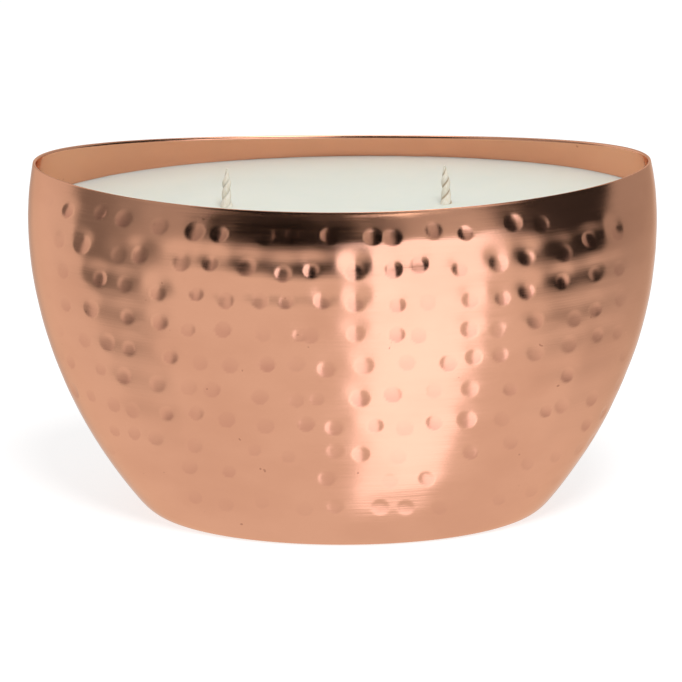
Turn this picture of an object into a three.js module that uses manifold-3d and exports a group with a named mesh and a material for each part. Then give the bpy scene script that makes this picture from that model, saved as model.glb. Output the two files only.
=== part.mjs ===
// Two-wick candle in an oval hammered copper bowl. Millimetres, +Z up.
// The origin is the middle of the flat foot, +X runs along the bowl's length, and the front faces -Y.
// The bowl was raised round and then squeezed: its long sides come in at the rim, and its ends stand up.
import * as THREE from "three";
import { mergeVertices } from "three/addons/utils/BufferGeometryUtils.js";
import Module from "manifold-3d";

const wasm = await Module();
wasm.setup();

// Bowl: heights are at the middle of the long sides, and lengths are from the middle to one end.
const HEIGHT = 100.4;
const END_RISE = 3.6; // how much higher the rim stands at the two ends
const FOOT = { flat: 54.7, corner: 57.3 }; // the end of the flat, and the sharp corner that the heel rounds
const HEEL = new THREE.Vector2(60.5, 3.85); // where the heel's curve becomes the wall
const WALL_PULL = [new THREE.Vector2(72.6, 18.4), new THREE.Vector2(90, 46.4)];
const BELLY = new THREE.Vector2(90, 82.3); // the longest level
const SHOULDER_PULL = new THREE.Vector2(90, 92.8);
const RIM = new THREE.Vector2(88.1, HEIGHT);
const SHEET = 1; // copper thickness

// Half the depth, as a share of half the length.
const FOOT_RATIO = 0.629;
const BELLY_RATIO = 0.552;
const RIM_RATIO = 0.4665;
const SQUEEZE_FROM = 0.7; // the share of the height where the long sides start to come in

// Wax and wicks.
const GAP = 0.3; // clearance between pieces that touch
const BEYOND = 20; // how far cutting shapes run on past what they cut
const WAX_LEVEL = 91.2;
const WAX_SLOPE = { x: 0.0133, y: 0.03 }; // the wax set a little higher to the right and at the back
const WICK_X = { left: -32.9, right: 29.9 };
const WICK_Y = -1.3;
const WICK_RADIUS = 1.2;
const WICK_LENGTH_OUT = 11.2; // what stands out of the wax
const WICK_LEAN = { left: 0.4, right: -0.4 }; // sideways wander of the tip

// Sustainer: a thin tab with a neck crimped round the wick, on an adhesive sticker.
const STICKER = { radius: 9.5, thickness: 1 };
const TAB = { radius: 10, thickness: 0.4 };
const NECK = { wall: 0.5, height: 6.4 };

const ROUND_BOWL = 60; // sides of the bowl and the wax
const ROUND_SMALL = 24;
const WICK_FACETS = { segments: 5, steps: 8 };
const OUTLINE_STEPS = { heel: 3, wall: 12, shoulder: 4 }; // straight pieces in each curve of the outline
const TINY = 1e-4; // lengths below this count as nothing

const STICKER_FLOOR = SHEET + GAP;
const TAB_FLOOR = STICKER_FLOOR + STICKER.thickness + GAP;
const NECK_TOP = TAB_FLOOR + NECK.height;
const NECK_BORE = WICK_RADIUS + GAP;

const COPPER = { color: 0xc98a6c, roughness: 0.3, metalness: 1 };
const WAX = { color: 0xdfe1d3, roughness: 0.45, metalness: 0 };
const COTTON = { color: 0xe4dcc0, roughness: 0.9, metalness: 0 };
const TINNED_STEEL = { color: 0xb9bcc0, roughness: 0.35, metalness: 1 };
const FOAM = { color: 0xf2f2ee, roughness: 0.9, metalness: 0 };

// Half the depth over half the length at a share of the height, from the foot at 0 to the rim at 1.
function depthRatio(share) {
  const spread = (FOOT_RATIO - BELLY_RATIO) * Math.max(1 - share, 0) ** 3;
  const squeeze = Math.max((share - SQUEEZE_FROM) / (1 - SQUEEZE_FROM), 0);
  return BELLY_RATIO + spread - (BELLY_RATIO - RIM_RATIO) * squeeze ** 3;
}

// The outside of the bowl at its ends, as (half length, height), from the middle of the foot to the rim.
function bowlOutline() {
  const flat = new THREE.Vector2(FOOT.flat, 0);
  const corner = new THREE.Vector2(FOOT.corner, 0);
  const heel = new THREE.QuadraticBezierCurve(flat, corner, HEEL);
  const wall = new THREE.CubicBezierCurve(HEEL, ...WALL_PULL, BELLY);
  const shoulder = new THREE.QuadraticBezierCurve(BELLY, SHOULDER_PULL, RIM);
  return [
    new THREE.Vector2(0, 0),
    ...heel.getPoints(OUTLINE_STEPS.heel),
    ...wall.getPoints(OUTLINE_STEPS.wall).slice(1),
    ...shoulder.getPoints(OUTLINE_STEPS.shoulder).slice(1),
  ];
}

// The same outline moved inwards by a distance, and never below the floor at that distance.
function insetOutline(points, distance) {
  return points.map((point, i) => {
    const before = points[Math.max(i - 1, 0)];
    const after = points[Math.min(i + 1, points.length - 1)];
    const along = after.clone().sub(before).normalize();
    const height = i < 2 ? distance : Math.max(point.y + along.x * distance, distance);
    return new THREE.Vector2(Math.max(point.x - along.y * distance, 0), height);
  });
}

// A lathe about +Z, as a geometry that holds nothing but merged positions.
function turned(profile, sides) {
  const geometry = new THREE.LatheGeometry(profile, sides);
  geometry.rotateX(Math.PI / 2);
  return bare(geometry);
}

function bare(geometry) {
  geometry.deleteAttribute("normal");
  geometry.deleteAttribute("uv");
  return mergeVertices(geometry, TINY);
}

// Presses a round turned form into the bowl's oval, inset from the outside by a distance.
function squeezed(geometry, inset) {
  const position = geometry.attributes.position;
  for (let i = 0; i < position.count; i++) {
    const x = position.getX(i);
    const y = position.getY(i);
    const z = position.getZ(i);
    const radius = Math.hypot(x, y);
    if (radius < TINY) continue;
    const halfDepth = Math.max(depthRatio(z / HEIGHT) * (radius + inset) - inset, 0);
    const rise = 1 + (END_RISE / HEIGHT) * (x / radius) ** 2;
    position.setXYZ(i, x, (y / radius) * halfDepth, z > inset + TINY ? z * rise : z);
  }
  return geometry;
}

function solidOf(geometry) {
  return new wasm.Manifold(
    new wasm.Mesh({
      numProp: 3,
      vertProperties: geometry.attributes.position.array,
      triVerts: new Uint32Array(geometry.index.array),
    }),
  );
}

function geometryOf(solid) {
  const { vertProperties, triVerts } = solid.getMesh();
  const geometry = new THREE.BufferGeometry();
  geometry.setAttribute("position", new THREE.BufferAttribute(vertProperties, 3));
  geometry.setIndex(new THREE.BufferAttribute(triVerts, 1));
  geometry.computeVertexNormals();
  return geometry;
}

// The space inside the bowl, inset from its outside and closed above the rim.
function cavity(inset) {
  const outline = insetOutline(bowlOutline(), inset);
  const rim = outline[outline.length - 1];
  const above = new THREE.Vector2(rim.x, HEIGHT + BEYOND);
  const closed = [...outline, above, new THREE.Vector2(0, above.y)];
  return solidOf(squeezed(turned(closed, ROUND_BOWL), inset));
}

function bowlGeometry() {
  const closed = [...bowlOutline(), new THREE.Vector2(0, HEIGHT)];
  const outside = solidOf(squeezed(turned(closed, ROUND_BOWL), 0));
  return geometryOf(outside.subtract(cavity(SHEET)));
}

function waxTop(x, y) {
  return WAX_LEVEL + WAX_SLOPE.x * x + WAX_SLOPE.y * y;
}

// Everything below the top of the wax.
function belowWaxTop() {
  const side = 4 * (BELLY.x + BEYOND);
  const block = new THREE.BoxGeometry(side, side, side);
  block.translate(0, 0, -side / 2);
  block.rotateY(-Math.atan(WAX_SLOPE.x));
  block.rotateX(Math.atan(WAX_SLOPE.y));
  block.translate(0, 0, WAX_LEVEL);
  return solidOf(bare(block));
}

// The room in the wax for one sticker, tab, neck and wick.
function wickRoom(x) {
  const top = WAX_LEVEL + BEYOND;
  const profile = [
    [0, 0],
    [TAB.radius + GAP, 0],
    [TAB.radius + GAP, TAB_FLOOR + TAB.thickness + GAP],
    [NECK_BORE + NECK.wall + GAP, TAB_FLOOR + TAB.thickness + GAP],
    [NECK_BORE + NECK.wall + GAP, NECK_TOP + GAP],
    [WICK_RADIUS + GAP, NECK_TOP + GAP],
    [WICK_RADIUS + GAP, top],
    [0, top],
  ];
  const room = turned(profile.map(([r, z]) => new THREE.Vector2(r, z)), ROUND_SMALL);
  room.translate(x, WICK_Y, 0);
  return solidOf(room);
}

function waxGeometry() {
  let wax = cavity(SHEET + GAP).intersect(belowWaxTop());
  for (const x of Object.values(WICK_X)) {
    wax = wax.subtract(wickRoom(x));
  }
  return geometryOf(wax);
}

// A straight wick through the wax. The end that stands out, from the start height up, leans a little.
function wickGeometry(lean, start) {
  const tip = start + WICK_LENGTH_OUT;
  const route = new THREE.CurvePath();
  const foot = new THREE.Vector3(0, 0, TAB_FLOOR);
  const exit = new THREE.Vector3(0, 0, start + GAP);
  const bend = new THREE.Vector3(0, 0, start + WICK_LENGTH_OUT / 2);
  route.add(new THREE.LineCurve3(foot, exit));
  route.add(new THREE.QuadraticBezierCurve3(exit, bend, new THREE.Vector3(lean, 0, tip)));
  const section = new THREE.Shape();
  section.absarc(0, 0, WICK_RADIUS, 0, 2 * Math.PI);
  return new THREE.ExtrudeGeometry(section, {
    steps: WICK_FACETS.steps,
    curveSegments: WICK_FACETS.segments,
    extrudePath: route,
  });
}

// The tab and its neck, open through the middle for the wick.
function sustainerGeometry() {
  const neckRadius = NECK_BORE + NECK.wall;
  const tabTop = TAB_FLOOR + TAB.thickness;
  const profile = [
    [NECK_BORE, TAB_FLOOR],
    [TAB.radius, TAB_FLOOR],
    [TAB.radius, tabTop],
    [neckRadius, tabTop],
    [neckRadius, NECK_TOP],
    [NECK_BORE, NECK_TOP],
    [NECK_BORE, TAB_FLOOR],
  ];
  return turned(profile.map(([r, z]) => new THREE.Vector2(r, z)), ROUND_SMALL);
}

function stickerGeometry() {
  const sticker = new THREE.CylinderGeometry(
    STICKER.radius, STICKER.radius, STICKER.thickness, ROUND_SMALL,
  );
  sticker.rotateX(Math.PI / 2);
  sticker.translate(0, 0, STICKER_FLOOR + STICKER.thickness / 2);
  return sticker;
}

const candle = new THREE.Group();

function addPiece(name, geometry, finish, x = 0, y = 0) {
  const mesh = new THREE.Mesh(geometry, new THREE.MeshStandardMaterial(finish));
  mesh.name = name;
  mesh.position.set(x, y, 0);
  candle.add(mesh);
}

addPiece("bowl", bowlGeometry(), COPPER);
addPiece("wax", waxGeometry(), WAX);
for (const side of ["left", "right"]) {
  const x = WICK_X[side];
  addPiece(`wick_${side}`, wickGeometry(WICK_LEAN[side], waxTop(x, WICK_Y)), COTTON, x, WICK_Y);
  addPiece(`sustainer_${side}`, sustainerGeometry(), TINNED_STEEL, x, WICK_Y);
  addPiece(`sticker_${side}`, stickerGeometry(), FOAM, x, WICK_Y);
}

export default candle;
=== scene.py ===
# Looks for a two-wick candle in an oval hammered copper bowl. Lengths are in millimetres until to_mesh().
# Columns of a grid go round the bowl, and its rows go from the rim down to the foot.
import math

import bpy
import numpy as np
from mathutils import Matrix, Vector


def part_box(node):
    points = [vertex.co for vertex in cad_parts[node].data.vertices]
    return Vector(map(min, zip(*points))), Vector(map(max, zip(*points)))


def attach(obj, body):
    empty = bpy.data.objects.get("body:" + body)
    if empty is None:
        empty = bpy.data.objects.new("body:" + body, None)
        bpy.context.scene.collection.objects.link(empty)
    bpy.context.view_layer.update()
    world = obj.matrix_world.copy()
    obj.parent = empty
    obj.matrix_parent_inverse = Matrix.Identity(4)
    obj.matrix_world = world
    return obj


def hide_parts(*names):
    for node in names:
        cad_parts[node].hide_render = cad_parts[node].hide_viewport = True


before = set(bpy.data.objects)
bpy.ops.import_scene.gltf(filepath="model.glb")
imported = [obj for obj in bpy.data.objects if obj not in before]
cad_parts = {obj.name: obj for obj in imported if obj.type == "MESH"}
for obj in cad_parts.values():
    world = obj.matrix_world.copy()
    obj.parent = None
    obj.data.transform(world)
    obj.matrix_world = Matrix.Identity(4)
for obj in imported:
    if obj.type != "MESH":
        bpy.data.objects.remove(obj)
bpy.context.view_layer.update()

MM = 0.001

# The bowl, with the same driving dimensions as the CAD part.
HEIGHT = 100.4
END_RISE = 3.6
OUTLINE = [  # Bezier curves of (half length, height), from the flat of the foot to the rim
    [(54.7, 0), (57.3, 0), (60.5, 3.85)],
    [(60.5, 3.85), (72.6, 18.4), (90, 46.4), (90, 82.3)],
    [(90, 82.3), (90, 92.8), (88.1, HEIGHT)],
]
HALF_LENGTH = 90
FOOT_RATIO = 0.629
BELLY_RATIO = 0.552
RIM_RATIO = 0.4665
SQUEEZE_FROM = 0.7
SHEET = 1.0
LIP = SHEET / 2  # radius of the rim's rounded edge

# How finely the bowl is cut.
COLUMNS = 736
ROW_STEP = 0.53
INNER_FINE = 16  # how far down from the rim the inside is as fine as the outside
INNER_STEP = 5
OUTLINE_POINTS = 200  # for each curve of the outline
ANGLE_POINTS = 7201  # for measuring the oval's length
LIP_STEPS = 6
FLAT_RINGS = 8  # in the foot, and in the floor inside

# Hammer marks, measured down the wall from the rim.
MARK_ROWS = [7, 16.4, 25.6, 35, 44.3, 53.6, 62.8, 72, 80.5, 90]
MARK_SPACING = 9.8
MARK_RADIUS = 2.4
MARK_DEPTH = 0.21
MARK_FLATNESS = 2.6  # the power that keeps a mark's middle flat and its edge steep
MARK_SIZES = (0.86, 1.14)
MARK_FORCES = (0.6, 1.2)
MARK_SHIFT = 0.16  # how unevenly marks are spaced in a row, as a share of the spacing
MARK_DROP = 0.7  # how far marks stray from the middle of their row
HALO_DEPTH = 0.4
HALO_REACH = (3.9, 3.0)  # across and up
HALO_CUT = 2.2  # the hollow round a mark is left out beyond this many reaches
GROOVE_WIDTH = 3.0
ABOVE = 2.2  # the deepest line of a row's groove lies this far above the middle of its marks
GROOVE_DEPTH = [0.05, 0.28, 0.26, 0.13, 0.1, 0.08, 0.07, 0.06, 0.05, 0.03]
MARK_STRENGTH = [0.9, 1, 1, 0.85, 0.8, 0.75, 0.7, 0.62, 0.55, 0.4]
MARK_MISSING = [0.05, 0, 0, 0.02, 0.04, 0.08, 0.12, 0.18, 0.25, 0.4]
MARKED_TO = (0.84, 0.92)  # marks fade out between these shares of the half length
END_STRENGTH = 0.1
# Painted shade in the hammer marks: the copper is painted darker in each mark, most on its lower side, where
# shade falls in a dent.
PAINTED_SHADE_AT_TOP = 0.25  # painted shade: how dark a mark's upper side is painted, where its lower side is 1
PAINTED_SHADE_TURN = (-1, 0.9)  # where the painted shade changes, from a mark's top at -1 to its bottom at 1
PAINTED_SHADE_EDGE = 0.3  # the painted shade is whole where a mark has this share of its depth
HEEL_PLAIN = 3  # marks and waves fade out over this distance from the foot
INSIDE_BLURS = 2  # times that the dents are blurred for the inside

# Long, shallow unevenness of the beaten sheet.
WAVE_DEPTH = 0.17
WAVE_COUNT = 9
WAVE_LENGTHS = (22, 55)
WAVE_DEPTHWISE = 0.5  # how fast the waves change through the bowl's depth, where along it is 1
WAVE_START = 6  # the rim itself stays even, and the waves are whole this far below it

# Wax and wicks.
WAX_LEVEL = 91.2
WAX_SLOPE = (0.0133, 0.03)  # the wax set a little higher to the right and at the back
WAX_CLEARANCE = 0.08
WALL_CLIMB = (0.45, 0.8)  # how high the wax climbs at the wall, and over what distance
WICK_CLIMB = (0.5, 0.9)
WICK_DIP = (0.25, 9)  # the shallow hollow round each wick
WAX_FINE_RINGS = [0.25, 0.6, 1.1, 1.8, 2.8, 4.2, 6]  # distances from the wall
WAX_EVEN_RINGS = (8, 70)  # where evenly spaced rings begin, and how many they are
WAX_LAST_RING = 0.02  # its share of the edge's size
WAX_SIDE_STEP = 8  # rows of the bowl's inside for each row of the wax's side
WAX_COLUMN_STEP = 2
WAX_FLAT_RINGS = 4
WICKS = {"left": (-32.9, 0.4), "right": (29.9, -0.4)}  # x, and how far the tip leans
WICK_Y = -1.3
WICK_RADIUS = 1.2
WICK_OUT = 11.2
WICK_TWIST = 0.9  # radians for each millimetre
WICK_SIDES = 48
WICK_STEP = 0.12
WICK_BURIED_STEPS = 12
WICK_STEPS_MEET = (2, 1.8)  # below the wax's top, where the buried steps end and the fine ones start
WICK_TAPER = (4.5, 0.3, 1.08)  # the tip's length, its end's thickness, and the thickness below it
WICK_COAT = (0.5, 0.3, 1.6)  # thickness of the wax coat, where it starts to thin, and over what height
WICK_CREASE = (0.62, 0.9)  # radius in the creases, bare and under the coat
STRAND_ROUNDNESS = 0.7

# Colours, in linear light.
CLEAN_COPPER = (0.77, 0.385, 0.243, 1)
DULL_COPPER = (0.725, 0.355, 0.222, 1)
# the colour of the painted shade in the hammer marks, darkest on their lower side
PAINTED_SHADE_COPPER = (0.60, 0.27, 0.18, 1)
COPPER_SPECK = (0.32, 0.13, 0.08, 1)
COPPER_EDGE_TINT = (1, 0.84, 0.72, 1)
GRAIN_SHARE = 0.25  # height of the copper's fine grain, where its brushing is 1
WAX_COLOURS = ((0.80, 0.81, 0.72, 1), (0.77, 0.795, 0.71, 1))
COTTON_COLOURS = ((0.80, 0.74, 0.60, 1), (0.88, 0.85, 0.76, 1))
# painted shade in the creases of each wick's twist, much darker on the right wick
CREASE_SHADE_COLOURS = {"left": (0.68, 0.65, 0.56, 1), "right": (0.47, 0.37, 0.25, 1)}
STEEL_COLOURS = ((0.62, 0.63, 0.65, 1), (0.74, 0.75, 0.77, 1))
FOAM_COLOURS = ((0.86, 0.86, 0.83, 1), (0.94, 0.94, 0.92, 1))
WHITE = (1, 1, 1, 1)

# Camera: degrees round the bowl, degrees up and degrees of roll.
CAMERA_ROUND = 2.30
CAMERA_UP = 17.59
CAMERA_ROLL = -0.72
CAMERA_DISTANCE = 1312.5
CAMERA_TARGET_HEIGHT = 49.9
CAMERA_ASIDE = 0.69  # how far the camera is shifted to its own left
LENS = 240.06
SENSOR = 36

# The lamp and the floor.
KEY_ROUND = 15
KEY_UP = 58
KEY_DISTANCE = 1200
KEY_TARGET_HEIGHT = 80
KEY_SIZE = 0.5  # metres
KEY_POWER = 9.5  # watts
FLOOR_SIZE = 12  # metres
FLOOR_COLOUR = (0.5, 0.5, 0.5, 1)
FLOOR_GLOW = 0.72

# The studio's light on the metal, by degrees round the bowl: 0 in front, 90 right.
TOP_LIGHT = 4.0
TABLE_LIGHT = 0.9
STRIP_LIGHT = (1.75, 1.82, 2.1, 1)
STRIP_EDGES = [(-180, 0), (0, 0), (3, 1), (30.5, 1), (32.5, 0), (179, 0)]
STRIP_HEIGHT = ((-56, -49), (28, 38))  # elevations where it fades in and out
WALL_LIGHT = [  # (degrees round the bowl, brightness)
    (-180, 0.7), (-150, 0.55), (-135, 0.8), (-112, 0.88), (-79, 0.82), (-73, 0.24), (-62, 0.27), (-53, 0.36),
    (-46, 0.5), (-32.5, 0.56), (-31, 0.005), (2, 0.015), (10, 0.5), (28, 0.6), (33, 0.4), (37, 0.04),
    (74, 0.03), (80, 0.46), (140, 0.5), (160, 0.72), (179, 0.7),
]
WALL_FOOT = [  # elevation where the table's light gives way to the walls'
    (-180, -28), (-78, -26), (-52, -24), (-45, -8), (-36, 18), (-30, 26), (-20, 12), (-5, 9), (4, 14),
    (12, 36), (31, 36), (40, 6), (48, -10), (56, -19), (76, -20), (82, -30), (179, -28),
]
WALL_SOFTNESS = 22
CEILING_FOOT = [  # elevation where the top light starts
    (-180, 76), (-48, 76), (-36, 80), (-10, 80), (-2, 70), (6, 60), (28, 60), (34, 76), (179, 76),
]
CEILING_SOFTNESS = 4
DOME_LIGHT = (0.3, 0.5)  # what the matt surfaces get, from the horizon and from the top

SEED = 41
random = np.random.default_rng(SEED)


def smoothstep(low, high, value):
    share = np.clip((value - low) / (high - low), 0, 1)
    return share * share * (3 - 2 * share)


def mix(a, b, share):
    return a + (b - a) * share


def bezier(points, count):
    share = np.linspace(0, 1, count)[:, None]
    layer = [np.array(point, float) + 0 * share for point in points]
    while len(layer) > 1:
        layer = [mix(a, b, share) for a, b in zip(layer, layer[1:])]
    return layer[0]


def depth_ratio(share):
    """Half the depth over half the length at a share of the height."""
    spread = (FOOT_RATIO - BELLY_RATIO) * np.clip(1 - share, 0, None) ** 3
    squeeze = np.clip((share - SQUEEZE_FROM) / (1 - SQUEEZE_FROM), 0, None)
    return BELLY_RATIO + spread - (BELLY_RATIO - RIM_RATIO) * squeeze ** 3


def outline():
    """(half length, height) from the rim down to the foot, and the distance down the front wall."""
    pieces = [bezier(points, OUTLINE_POINTS) for points in OUTLINE]
    points = np.concatenate([pieces[0], pieces[1][1:], pieces[2][1:]])[::-1]
    length, height = points.T
    front = np.stack([depth_ratio(height / HEIGHT) * length, height], -1)
    down = np.concatenate([[0], np.cumsum(np.linalg.norm(np.diff(front, axis=0), axis=1))])
    return length, height, down


def column_angles():
    """Angles round the oval that put the columns at equal distances along the belly."""
    fine = np.linspace(0, 2 * np.pi, ANGLE_POINTS)
    step = np.hypot(np.sin(fine), BELLY_RATIO * np.cos(fine))
    along = np.concatenate([[0], np.cumsum((step[1:] + step[:-1]) / 2)])
    return np.interp(np.arange(COLUMNS) / COLUMNS * along[-1], along, fine)


ANGLES = column_angles()
LENGTHS, HEIGHTS, DOWN = outline()


def wall(down):
    """Points of the smooth outside wall at distances down it: rows x columns x 3."""
    length = np.interp(down, DOWN, LENGTHS)[:, None]
    height = np.interp(down, DOWN, HEIGHTS)[:, None]
    rise = 1 + END_RISE / HEIGHT * np.cos(ANGLES) ** 2
    x = length * np.cos(ANGLES)
    y = depth_ratio(height / HEIGHT) * length * np.sin(ANGLES)
    return np.stack([x, y, height * rise], -1)


def unit(vectors):
    return vectors / np.linalg.norm(vectors, axis=-1, keepdims=True)


def round_ring(grid):
    """How a grid changes from one column to the next, going round."""
    return (np.roll(grid, -1, 1) - np.roll(grid, 1, 1)) / 2


def outward(grid):
    across = round_ring(grid)
    down = np.gradient(grid, axis=0)
    return unit(np.cross(down, across))


def press_mark(depth, painted_shade, grid, row, column, size, strength, halo_strength):
    """Adds one hammer mark to fields over a grid: a flat cap with a crisp edge, in a soft hollow, and
    painted shade over the cap, darker on its lower side.
    """
    reach = int(HALO_CUT * HALO_REACH[0] / ROW_STEP)
    rows = np.arange(max(row - reach, 0), min(row + reach, len(grid)))
    columns = np.arange(column - reach, column + reach) % COLUMNS
    window = np.ix_(rows, columns)
    centre = grid[row, column % COLUMNS]
    right = unit(grid[row, (column + 1) % COLUMNS] - grid[row, (column - 1) % COLUMNS])
    above = unit(grid[max(row - 1, 0), column % COLUMNS] - grid[row + 1, column % COLUMNS])
    offset = grid[window] - centre
    across = offset @ right
    up = offset @ above
    halo = np.exp(-(across / HALO_REACH[0]) ** 2 - ((up - ABOVE) / HALO_REACH[1]) ** 2)
    radius = MARK_RADIUS * size
    cap = np.clip(1 - (np.hypot(across, up) / radius) ** MARK_FLATNESS, 0, 1)
    depth[window] += strength * MARK_DEPTH * cap + halo_strength * HALO_DEPTH * halo
    # painted shade: the mark is painted darker, most on its lower side, where shade falls in a dent
    low_side = mix(PAINTED_SHADE_AT_TOP, 1, smoothstep(*PAINTED_SHADE_TURN, -up / radius))
    darkness = min(strength, 1) * smoothstep(0, PAINTED_SHADE_EDGE, cap) * low_side
    painted_shade[window] = np.maximum(painted_shade[window], darkness)


def fade_to_ends(grid):
    share = np.abs(grid[..., 0]) / HALF_LENGTH
    return mix(1, END_STRENGTH, smoothstep(*MARKED_TO, share))


def waves(grid, down):
    """How far the sheet's long unevenness moves each point of the wall inwards."""
    total = np.zeros(grid.shape[:2])
    for _ in range(WAVE_COUNT):
        heading = random.uniform(0, 2 * np.pi)
        length = random.uniform(*WAVE_LENGTHS)
        level, upright = math.cos(heading), math.sin(heading)
        wave = np.array([level, WAVE_DEPTHWISE * level, upright])
        total += np.sin(grid @ wave * 2 * np.pi / length + random.uniform(0, 2 * np.pi))
    return WAVE_DEPTH * total / WAVE_COUNT * smoothstep(0, WAVE_START, down)[:, None]


def hammered_depth(grid, down):
    """How far the hammer pressed each point of the wall inwards, and how much painted shade its marks get.
    """
    depth = np.zeros(grid.shape[:2])
    painted_shade = np.zeros(grid.shape[:2])
    around = np.linalg.norm(round_ring(grid), axis=-1)
    rows = zip(MARK_ROWS, MARK_STRENGTH, MARK_MISSING, GROOVE_DEPTH)
    for at, strength, missing, groove_depth in rows:
        row = int(at / ROW_STEP)
        ring = np.concatenate([[0], np.cumsum(around[row])])
        count = round(ring[-1] / MARK_SPACING)
        start = random.uniform(0, 1)
        groove = np.exp(-((down - at + ABOVE) / GROOVE_WIDTH) ** 2)
        depth += groove_depth * groove[:, None]
        for i in range(count):
            spot = (i + start + random.normal(0, MARK_SHIFT)) / count * ring[-1] % ring[-1]
            column = int(np.interp(spot, ring[:-1], np.arange(COLUMNS)))
            drop = random.normal(0, MARK_DROP)
            size = random.uniform(*MARK_SIZES)
            force = strength * random.uniform(*MARK_FORCES)
            if random.uniform() < missing:
                continue
            marked_row = int((at + drop) / ROW_STEP)
            halo_force = force * groove_depth / max(GROOVE_DEPTH)
            press_mark(depth, painted_shade, grid, marked_row, column, size, force, halo_force)
    fade = fade_to_ends(grid)
    return depth * fade, painted_shade * fade


def soften(field, times):
    """Blurs a field a little, as a sheet's far side shows a blow softer than the near side."""
    for _ in range(times):
        field = (field + np.roll(field, 1, 1) + np.roll(field, -1, 1)) / 3
        padded = np.pad(field, ((1, 1), (0, 0)), mode="edge")
        field = (padded[:-2] + padded[1:-1] + padded[2:]) / 3
    return field


def lip(outer, inner):
    """The rim's round edge, as rows of points from the outside to the inside."""
    middle = (outer + inner) / 2
    side = (outer - inner) / 2
    up = np.zeros_like(side)
    up[..., 2] = np.linalg.norm(side, axis=-1)
    turns = np.linspace(0, np.pi, LIP_STEPS + 1)[1:-1]
    return [middle + side * math.cos(turn) + up * math.sin(turn) for turn in turns]


def bowl_rows():
    """Rows from the foot up the outside, over the lip and down the inside.

    The full inside and the outside's painted shade in the marks, which goes from the foot up, come with
    them.
    """
    down = np.arange(LIP, DOWN[-1], ROW_STEP)
    down[-1] = DOWN[-1]
    outside = wall(down)
    normals = outward(outside)
    depth, painted_shade = hammered_depth(outside, down)
    depth += waves(outside, down)
    depth *= smoothstep(0, HEEL_PLAIN, DOWN[-1] - down)[:, None]
    depth = np.clip(depth, 0, None)
    outer = outside - normals * depth[..., None]
    inner = outside - normals * (SHEET + soften(depth, INSIDE_BLURS))[..., None]
    fine = down < INNER_FINE
    coarse = np.arange(len(down))[~fine][:: int(INNER_STEP / ROW_STEP)]
    inner_rows = np.concatenate([np.arange(len(down))[fine], coarse])
    inner[..., 2] = np.maximum(inner[..., 2], SHEET)
    rows = list(outer[::-1]) + lip(outer[0], inner[0]) + [inner[i] for i in inner_rows]
    return rows, inner, painted_shade[::-1]


def disc_rows(ring, height, count):
    """Rings that close a flat face, shrinking from a ring towards its middle."""
    rings = []
    for share in np.linspace(1, 0, count + 1)[1:-1]:
        smaller = ring * share
        smaller[:, 2] = height
        rings.append(smaller)
    return rings


def loft(rows, first_cap, last_cap):
    """Vertices and faces of rings joined in order and closed at both ends by a centre point."""
    count = len(rows[0])
    vertices = np.concatenate(rows + [np.array([first_cap, last_cap], float)])
    columns = np.arange(count)
    following = (columns + 1) % count
    starts = np.arange(len(rows) - 1)[:, None] * count
    quads = np.stack([starts + columns, starts + following, starts + count + following,
                      starts + count + columns], -1).reshape(-1, 4)
    first, last = len(vertices) - 2, len(vertices) - 1
    end = (len(rows) - 1) * count
    caps = [(first, b, a) for a, b in zip(columns, following)]
    caps += [(end + a, end + b, last) for a, b in zip(columns, following)]
    return vertices, quads.tolist() + caps


def to_mesh(name, vertices, faces):
    mesh = bpy.data.meshes.new(name)
    mesh.from_pydata((vertices * MM).tolist(), [], faces)
    mesh.validate()
    mesh.shade_smooth()
    piece = bpy.data.objects.new(name, mesh)
    bpy.context.scene.collection.objects.link(piece)
    return piece


def paint(piece, name, values):
    """Keeps a number for each vertex, which the piece's material reads."""
    attribute = piece.data.attributes.new(name, "FLOAT", "POINT")
    attribute.data.foreach_set("value", values)


def stand_in(piece, node, finish):
    """Puts a piece in the place of a CAD node."""
    piece.data.materials.append(finish)
    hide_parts(node)
    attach(piece, "root")


def add(tree, kind, inputs=None, **settings):
    """A node with its settings made and its inputs set or linked."""
    node = tree.nodes.new(kind)
    for key, value in settings.items():
        setattr(node, key, value)
    for key, value in (inputs or {}).items():
        if isinstance(value, bpy.types.NodeSocket):
            tree.links.new(value, node.inputs[key])
        else:
            node.inputs[key].default_value = value
    return node


def math_node(tree, operation, *values):
    return add(tree, "ShaderNodeMath", dict(enumerate(values)), operation=operation).outputs[0]


def between(tree, value, low, high, start=0.0, end=1.0):
    node = add(tree, "ShaderNodeMapRange", {"Value": value, "From Min": low, "From Max": high,
                                            "To Min": start, "To Max": end},
               interpolation_type="SMOOTHSTEP")
    return node.outputs["Result"]


def number_mix(tree, share, first, second):
    node = add(tree, "ShaderNodeMix", {0: share, 2: first, 3: second}, data_type="FLOAT")
    return node.outputs[0]


def blend_colour(tree, share, first, second):
    node = add(tree, "ShaderNodeMix", data_type="RGBA")
    for index, value in ((0, share), (6, first), (7, second)):
        if isinstance(value, bpy.types.NodeSocket):
            tree.links.new(value, node.inputs[index])
        else:
            node.inputs[index].default_value = value
    return node.outputs[2]


def noise_over(tree, scale, stretch=(1, 1, 1), detail=3.0):
    """Noise fixed to the object, finer along the axes with a larger stretch."""
    place = add(tree, "ShaderNodeTexCoord").outputs["Object"]
    spread = add(tree, "ShaderNodeMapping", {"Vector": place, "Scale": stretch}).outputs[0]
    noise = add(tree, "ShaderNodeTexNoise", {"Vector": spread, "Scale": scale, "Detail": detail})
    return noise.outputs["Fac"]


def new_material(name):
    material = bpy.data.materials.new(name)
    material.use_nodes = True
    tree = material.node_tree
    return material, tree, tree.nodes["Principled BSDF"]


def set_bump(tree, surface, height, strength, distance):
    bump = add(tree, "ShaderNodeBump", {"Height": height, "Strength": strength, "Distance": distance})
    tree.links.new(bump.outputs[0], surface.inputs["Normal"])


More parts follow.
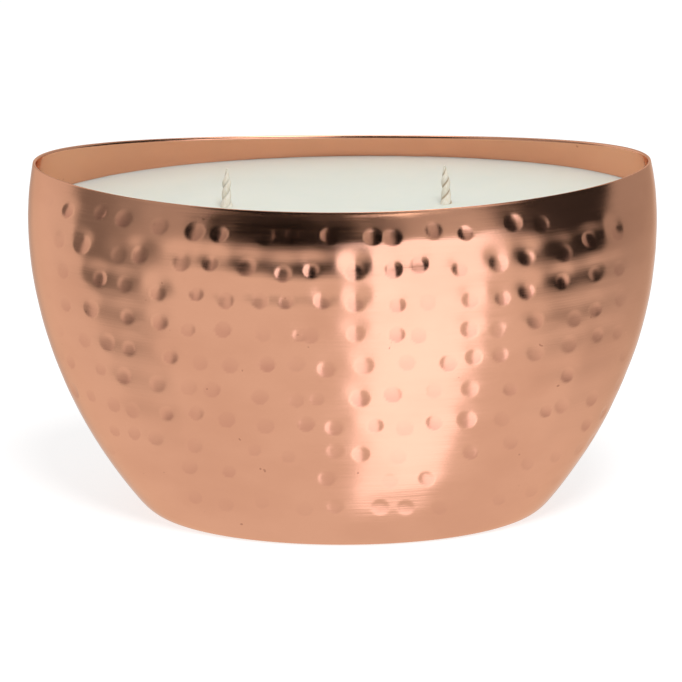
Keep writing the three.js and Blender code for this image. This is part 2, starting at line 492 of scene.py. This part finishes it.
def copper():
    material, tree, surface = new_material("hammered_copper")
    patches = between(tree, noise_over(tree, scale=38, stretch=(1, 1, 1.6)), low=0.35, high=0.7)
    clean = blend_colour(tree, patches, CLEAN_COPPER, DULL_COPPER)
    # the hammer marks get painted shade, a little uneven, darkest on their lower side
    painted_shade = add(tree, "ShaderNodeAttribute", attribute_name="painted_shade").outputs["Fac"]
    uneven = between(tree, noise_over(tree, scale=90), low=0.3, high=0.7, start=0.45)
    shaded = blend_colour(tree, math_node(tree, "MULTIPLY", painted_shade, uneven), clean, PAINTED_SHADE_COPPER)
    specks = between(tree, noise_over(tree, scale=420, detail=1.0), low=0.785, high=0.81, end=0.5)
    tree.links.new(blend_colour(tree, specks, shaded, COPPER_SPECK), surface.inputs["Base Color"])
    brushing = noise_over(tree, scale=60, stretch=(1, 1, 40))
    roughness = between(tree, brushing, low=0.3, high=0.75, start=0.12, end=0.17)
    tree.links.new(roughness, surface.inputs["Roughness"])
    grain = noise_over(tree, scale=1400, detail=2.0)
    height = math_node(tree, "MULTIPLY_ADD", grain, GRAIN_SHARE, brushing)
    set_bump(tree, surface, height, strength=0.04, distance=0.0004)
    tangent = add(tree, "ShaderNodeTangent", direction_type="RADIAL", axis="Z")
    tree.links.new(tangent.outputs[0], surface.inputs["Tangent"])
    surface.inputs["Metallic"].default_value = 1
    surface.inputs["Anisotropic"].default_value = 0.3
    surface.inputs["Specular Tint"].default_value = COPPER_EDGE_TINT
    return material


def wax():
    material, tree, surface = new_material("candle_wax")
    clouds = between(tree, noise_over(tree, scale=60), low=0.3, high=0.7)
    tree.links.new(blend_colour(tree, clouds, *WAX_COLOURS), surface.inputs["Base Color"])
    set_bump(tree, surface, noise_over(tree, scale=900), strength=0.15, distance=0.0002)
    surface.inputs["Roughness"].default_value = 0.42
    surface.inputs["Subsurface Weight"].default_value = 0.5
    surface.inputs["Subsurface Radius"].default_value = (1, 0.9, 0.75)
    surface.inputs["Subsurface Scale"].default_value = 0.008
    return material


def cotton(name, crease_shade_colour):
    material, tree, surface = new_material(name)
    fibre = noise_over(tree, scale=2600, stretch=(1, 1, 0.25))
    strand = blend_colour(tree, between(tree, fibre, low=0.3, high=0.7), *COTTON_COLOURS)
    # the creases between the twisted strands are painted darker, as painted shade
    crease_shade = add(tree, "ShaderNodeAttribute", attribute_name="crease_shade").outputs["Fac"]
    colour = blend_colour(tree, between(tree, crease_shade, low=0.3, high=0.9), strand, crease_shade_colour)
    tree.links.new(colour, surface.inputs["Base Color"])
    set_bump(tree, surface, fibre, strength=0.4, distance=0.0002)
    surface.inputs["Roughness"].default_value = 0.6
    return material


def tinned_steel():
    material, tree, surface = new_material("tinned_steel")
    bloom = between(tree, noise_over(tree, scale=240), low=0.35, high=0.65)
    tree.links.new(blend_colour(tree, bloom, *STEEL_COLOURS), surface.inputs["Base Color"])
    surface.inputs["Metallic"].default_value = 1
    surface.inputs["Roughness"].default_value = 0.35
    return material


def sticker_foam():
    material, tree, surface = new_material("sticker_foam")
    cells = noise_over(tree, scale=1500)
    tree.links.new(blend_colour(tree, cells, *FOAM_COLOURS), surface.inputs["Base Color"])
    set_bump(tree, surface, cells, strength=0.5, distance=0.0002)
    surface.inputs["Roughness"].default_value = 0.9
    return material


def make_bowl():
    rows, inner, painted_shade = bowl_rows()
    foot = disc_rows(rows[0], 0, FLAT_RINGS)
    floor = disc_rows(rows[-1], SHEET, FLAT_RINGS)
    vertices, faces = loft(foot[::-1] + rows + floor, (0, 0, 0), (0, 0, SHEET))
    bowl = to_mesh("copper_bowl", vertices, faces)
    # the painted shade of the hammer marks goes onto the outside's vertices
    values = np.zeros(len(vertices))
    values[len(foot) * COLUMNS:][:painted_shade.size] = painted_shade.ravel()
    paint(bowl, "painted_shade", values)
    stand_in(bowl, "bowl", copper())
    return inner


def wax_level(x, y):
    return WAX_LEVEL + WAX_SLOPE[0] * x + WAX_SLOPE[1] * y


def wax_height(x, y, to_wall):
    """Height of the wax's top, which climbs a little at the wall and at each wick."""
    wall_rise, wall_reach = WALL_CLIMB
    wick_rise, wick_reach = WICK_CLIMB
    dip, dip_reach = WICK_DIP
    height = wax_level(x, y) + wall_rise * np.exp(-to_wall / wall_reach)
    for wick_x, _ in WICKS.values():
        away = np.hypot(x - wick_x, y - WICK_Y)
        height += wick_rise * np.exp(-np.clip(away - WICK_RADIUS, 0, None) / wick_reach)
        height -= dip * np.exp(-(away / dip_reach) ** 2)
    return height


def wax_edge(inner):
    """Where the wax's top meets the bowl's inside in each column, and the row just below."""
    level = wax_level(inner[..., 0], inner[..., 1]) + WALL_CLIMB[0]
    over = inner[..., 2] - level
    row = np.argmax(over < 0, axis=0)
    columns = np.arange(inner.shape[1])
    above, below = over[row - 1, columns], over[row, columns]
    share = (above / (above - below))[:, None]
    return mix(inner[row - 1, columns], inner[row, columns], share), row


def shrink(ring, distance):
    """A ring moved inwards by a distance, level."""
    away = np.hypot(ring[:, 0], ring[:, 1])[:, None]
    moved = ring * (1 - distance / away)
    moved[:, 2] = ring[:, 2]
    return moved


def make_wax(inner):
    inner = inner[:, ::WAX_COLUMN_STEP]
    edge, row = wax_edge(inner)
    edge = shrink(edge, WAX_CLEARANCE)
    even_from, even_count = WAX_EVEN_RINGS
    sizes = np.concatenate([1 - np.array(WAX_FINE_RINGS) / HALF_LENGTH,
                            np.linspace(1 - even_from / HALF_LENGTH, WAX_LAST_RING, even_count)])
    top = []
    for size in sizes:
        ring = edge * size
        to_wall = np.hypot(*(edge - ring)[:, :2].T)
        ring[:, 2] = wax_height(ring[:, 0], ring[:, 1], to_wall)
        top.append(ring)
    sides = []
    first = row.max() + 1
    for i in range(first, len(inner), WAX_SIDE_STEP):
        ring = shrink(inner[i], WAX_CLEARANCE)
        ring[:, 2] = np.maximum(ring[:, 2], SHEET + WAX_CLEARANCE)
        sides.append(ring)
    bottom = SHEET + WAX_CLEARANCE
    rows = disc_rows(sides[-1], bottom, WAX_FLAT_RINGS)[::-1] + sides[::-1] + [edge] + top
    middle = float(wax_height(0.0, 0.0, HALF_LENGTH))
    vertices, faces = loft(rows, (0, 0, bottom), (0, 0, middle))
    stand_in(to_mesh("candle_wax", vertices, faces), "wax", wax())


def make_wick(side):
    """A twisted cotton wick, coated in wax where it leaves the wax's top."""
    x, lean = WICKS[side]
    low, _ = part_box(f"wick_{side}")
    bottom = low.z / MM
    top = wax_level(x, WICK_Y)
    tip = top + WICK_OUT
    buried_to, fine_from = WICK_STEPS_MEET
    buried = np.linspace(bottom, top - buried_to, WICK_BURIED_STEPS)
    heights = np.concatenate([buried, np.arange(top - fine_from, tip, WICK_STEP)])
    turns = np.linspace(0, 2 * np.pi, WICK_SIDES, endpoint=False)
    tip_length, tip_end, below_tip = WICK_TAPER
    coat_depth, coat_full, coat_reach = WICK_COAT
    rows = []
    crease_shades = []
    for height in heights:
        out = max(height - top, 0) / WICK_OUT
        strands = np.abs(np.cos(turns - height * WICK_TWIST)) ** STRAND_ROUNDNESS
        thickness = WICK_RADIUS * mix(tip_end, below_tip, smoothstep(0, tip_length, tip - height))
        coat = coat_depth * math.exp(-max(height - top - coat_full, 0) / coat_reach)
        radius = thickness * mix(mix(*WICK_CREASE, coat), 1, strands) + coat
        middle = x + lean * out ** 2
        ring = np.stack([middle + radius * np.cos(turns), WICK_Y + radius * np.sin(turns),
                         np.full(len(turns), height)], -1)
        rows.append(ring)
        # painted shade: how deep in a crease between strands each vertex lies, for the darker crease colour
        crease_shades.append(1 - strands)
    ends = [(x, WICK_Y, bottom), (x + lean, WICK_Y, tip)]
    vertices, faces = loft(rows, *ends)
    wick = to_mesh(f"cotton_wick_{side}", vertices, faces)
    paint(wick, "crease_shade", np.concatenate([*crease_shades, [0, 0]]))
    stand_in(wick, f"wick_{side}", cotton(f"waxed_cotton_{side}", CREASE_SHADE_COLOURS[side]))


def finish_hidden_parts():
    steel, foam = tinned_steel(), sticker_foam()
    for side in WICKS:
        for node, finish in ((f"sustainer_{side}", steel), (f"sticker_{side}", foam)):
            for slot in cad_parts[node].material_slots:
                slot.material = finish


def direction(round_bowl, up):
    """A unit vector by degrees round the bowl, 0 in front and 90 right, and degrees up."""
    round_bowl, up = math.radians(round_bowl), math.radians(up)
    level = math.cos(up)
    return Vector((math.sin(round_bowl) * level, -math.cos(round_bowl) * level, math.sin(up)))


def aim_camera():
    towards = direction(CAMERA_ROUND, CAMERA_UP)
    right = direction(CAMERA_ROUND + 90, 0)
    up = towards.cross(right)
    roll = math.radians(CAMERA_ROLL)
    camera_x = right * math.cos(roll) + up * math.sin(roll)
    camera_y = up * math.cos(roll) - right * math.sin(roll)
    data = bpy.data.cameras.new("camera")
    data.lens = LENS
    data.sensor_width = SENSOR
    camera = bpy.data.objects.new("camera", data)
    bpy.context.scene.collection.objects.link(camera)
    place = Vector((0, 0, CAMERA_TARGET_HEIGHT)) - camera_x * CAMERA_ASIDE + towards * CAMERA_DISTANCE
    turn = Matrix((camera_x, camera_y, towards)).transposed().to_4x4()
    camera.matrix_world = Matrix.Translation(place * MM) @ turn
    bpy.context.scene.camera = camera


def ramp(tree, value, stops, low, high):
    """A number between low and high that follows (degrees round the bowl, number) stops."""
    node = add(tree, "ShaderNodeValToRGB", {"Fac": value})
    elements = node.color_ramp.elements
    while len(elements) < len(stops):
        elements.new(0.5)
    for element, (degrees, number) in zip(elements, stops):
        element.position = degrees / 360 + 0.5
        element.color = ((number - low) / (high - low),) * 3 + (1,)
    return math_node(tree, "MULTIPLY_ADD", node.outputs["Color"], high - low, low)


def background(tree, colour, strength):
    return add(tree, "ShaderNodeBackground", {"Color": colour, "Strength": strength}).outputs[0]


def either(tree, share, first, second):
    return add(tree, "ShaderNodeMixShader", {0: share, 1: first, 2: second}).outputs[0]


def light_surroundings():
    """Surroundings that the metal mirrors, a soft dome for matt surfaces, and white behind it all."""
    world = bpy.data.worlds.new("studio")
    bpy.context.scene.world = world
    world.use_nodes = True
    tree = world.node_tree
    towards = add(tree, "ShaderNodeTexCoord").outputs["Generated"]
    axes = add(tree, "ShaderNodeSeparateXYZ", {"Vector": towards}).outputs
    flipped = math_node(tree, "MULTIPLY", axes["Y"], -1.0)
    round_angle = math_node(tree, "ARCTAN2", axes["X"], flipped)
    round_share = math_node(tree, "MULTIPLY_ADD", round_angle, 1 / (2 * math.pi), 0.5)
    height = math_node(tree, "MULTIPLY", math_node(tree, "ARCSINE", axes["Z"]), 180 / math.pi)

    def above(feet, softness):
        over = math_node(tree, "SUBTRACT", height, ramp(tree, round_share, feet, -90, 90))
        return between(tree, over, -softness, softness)

    walls = ramp(tree, round_share, WALL_LIGHT, 0, 1)
    light = number_mix(tree, above(WALL_FOOT, WALL_SOFTNESS), TABLE_LIGHT, walls)
    (low, high), (start, end) = STRIP_HEIGHT
    tall = math_node(tree, "MULTIPLY", between(tree, height, low, high), between(tree, height, end, start))
    strip = math_node(tree, "MULTIPLY", tall, ramp(tree, round_share, STRIP_EDGES, 0, 1))
    light = blend_colour(tree, strip, light, STRIP_LIGHT)
    ceiling = (TOP_LIGHT, TOP_LIGHT, TOP_LIGHT, 1)
    light = blend_colour(tree, above(CEILING_FOOT, CEILING_SOFTNESS), light, ceiling)
    dome = between(tree, axes["Z"], 0.0, 1.0, *DOME_LIGHT)
    ray = add(tree, "ShaderNodeLightPath").outputs
    lit = either(tree, ray["Is Diffuse Ray"], background(tree, light, 1.0), background(tree, WHITE, dome))
    shown = either(tree, ray["Is Camera Ray"], lit, background(tree, WHITE, 1.0))
    tree.links.new(shown, tree.nodes["World Output"].inputs["Surface"])
    world.cycles.sampling_method = "NONE"  # otherwise the dome isn't used for diffuse rays


def add_key_light():
    """A soft lamp in front, high up and a little to the right, that the metal doesn't mirror."""
    towards = direction(KEY_ROUND, KEY_UP)
    data = bpy.data.lights.new("key", "AREA")
    data.shape = "DISK"
    data.size = KEY_SIZE
    data.energy = KEY_POWER
    lamp = bpy.data.objects.new("key", data)
    bpy.context.scene.collection.objects.link(lamp)
    lamp.location = (Vector((0, 0, KEY_TARGET_HEIGHT)) + towards * KEY_DISTANCE) * MM
    lamp.rotation_euler = towards.to_track_quat("Z", "Y").to_euler()
    lamp.visible_glossy = False


def add_floor():
    bpy.ops.mesh.primitive_plane_add(size=FLOOR_SIZE, location=(0, 0, 0))
    floor = bpy.context.object
    floor.name = "studio_floor"
    material, _, surface = new_material("floor_white")
    surface.inputs["Base Color"].default_value = FLOOR_COLOUR
    surface.inputs["Emission Color"].default_value = WHITE
    surface.inputs["Emission Strength"].default_value = FLOOR_GLOW
    surface.inputs["Roughness"].default_value = 1
    surface.inputs["Specular IOR Level"].default_value = 0
    floor.data.materials.append(material)
    floor.visible_glossy = False


bpy.context.scene.view_settings.view_transform = "Standard"
aim_camera()
light_surroundings()
add_key_light()
add_floor()
make_wax(make_bowl())
for side in WICKS:
    make_wick(side)
finish_hidden_parts()
